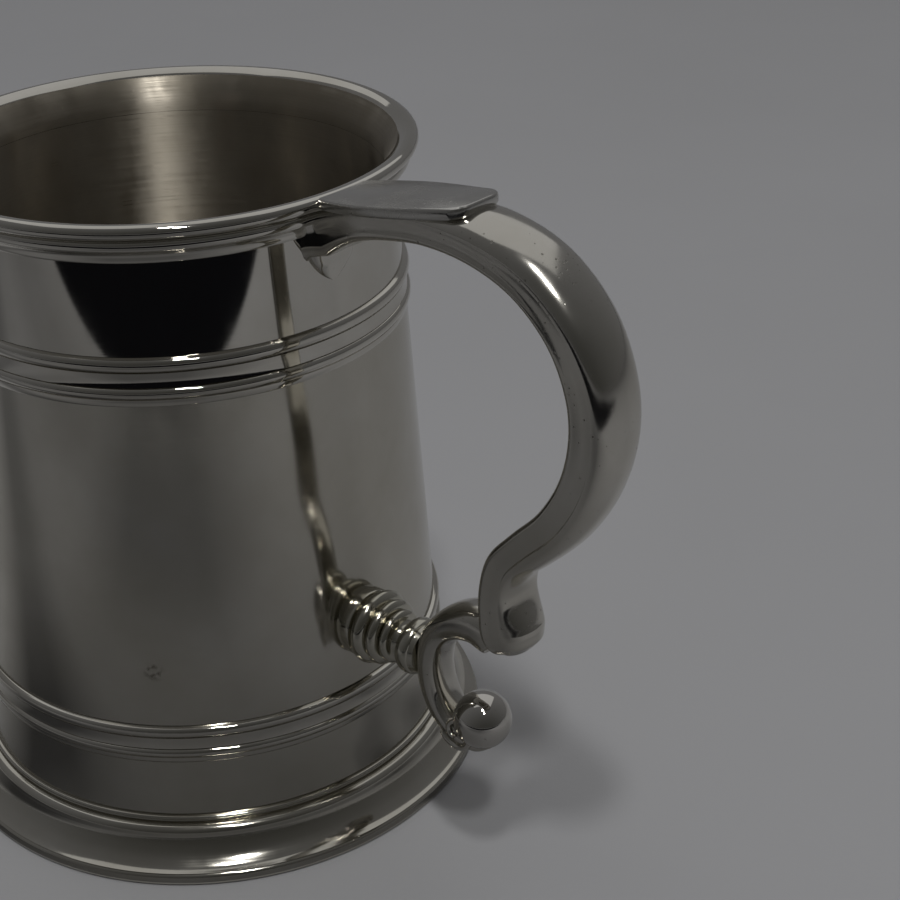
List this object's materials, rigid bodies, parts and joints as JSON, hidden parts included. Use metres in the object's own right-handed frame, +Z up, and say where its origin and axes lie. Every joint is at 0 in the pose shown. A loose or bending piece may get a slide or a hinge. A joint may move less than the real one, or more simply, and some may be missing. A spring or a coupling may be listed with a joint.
{
  "type": "tankard",
  "caption": "Tapered pewter tankard with reeded bands, a moulded lip and foot, and a scroll handle with a thumb plate and a turned lower strut.",
  "frame": {"origin": "on the resting plane, at the middle of the bounding box in plan; the turning axis of the body is 23.8 mm towards -X", "axes": "+Z up along the turning axis, +X from the body towards the handle, XZ is the plane of symmetry"},
  "size_m": [0.1524, 0.1048, 0.1267],
  "materials": {
    "satin_pewter": "satin-polished pewter with fine turning lines",
    "polished_pewter": "bright polished pewter",
    "foot_pewter": "turned and polished pewter",
    "base_pewter": "spun pewter with turning rings",
    "cast_pewter": "cast pewter polished by hand, with small pits",
    "plate_pewter": "cast pewter, filed and lightly polished"
  },
  "bodies": {
    "root": {"body_wall": "satin_pewter", "rim_ring": "polished_pewter", "upper_reed_band": "polished_pewter", "lower_reed_band": "polished_pewter", "foot_ring": "foot_pewter", "base_plate": "base_pewter", "handle_scroll": "cast_pewter", "thumb_plate": "plate_pewter", "strut_baluster": "cast_pewter", "lower_scroll": "cast_pewter", "ball_finial": "polished_pewter"}
  },
  "joints": []
}
